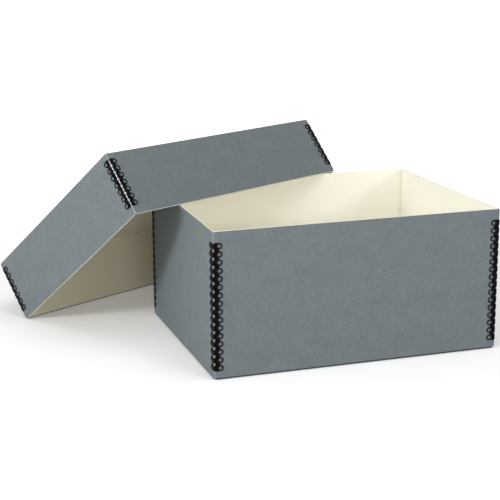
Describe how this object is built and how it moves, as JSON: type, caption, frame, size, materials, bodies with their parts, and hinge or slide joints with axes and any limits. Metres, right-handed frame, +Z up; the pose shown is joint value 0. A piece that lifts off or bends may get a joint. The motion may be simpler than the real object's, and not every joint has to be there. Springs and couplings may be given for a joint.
{
  "type": "archival storage box",
  "caption": "Rectangular archival storage box of laminated board, open, with its lift-off lid leaning on its rear corner and perforated black metal stays on every upright corner.",
  "frame": {"origin": "middle of the base's underside, on the surface that the box stands on", "axes": "+X along the long front wall to the right, +Y from the front wall to the rear wall, +Z up"},
  "size_m": [0.4574, 0.4388, 0.2005],
  "materials": {
    "board_core": "smooth uncoated cream board, 1.25 mm",
    "board_facing": "matte blue-grey facing paper with a faint fibre",
    "stay_enamel": "black semi-gloss stove enamel on sheet steel"
  },
  "bodies": {
    "base": {"base_board": "board_core", "base_wall_facing": "board_facing", "base_underside_facing": "board_facing", "base_stay_front_left": "stay_enamel", "base_stay_front_right": "stay_enamel", "base_stay_back_right": "stay_enamel", "base_stay_back_left": "stay_enamel"},
    "lid": {"lid_board": "board_core", "lid_facing": "board_facing", "lid_stay_front_left": "stay_enamel", "lid_stay_front_right": "stay_enamel", "lid_stay_back_right": "stay_enamel", "lid_stay_back_left": "stay_enamel"}
  },
  "joints": [
    {"name": "lid_lift", "type": "slide", "parent": "base", "child": "lid", "axis": [0, 0, 1], "range_m": [0, 0.16]}
  ]
}
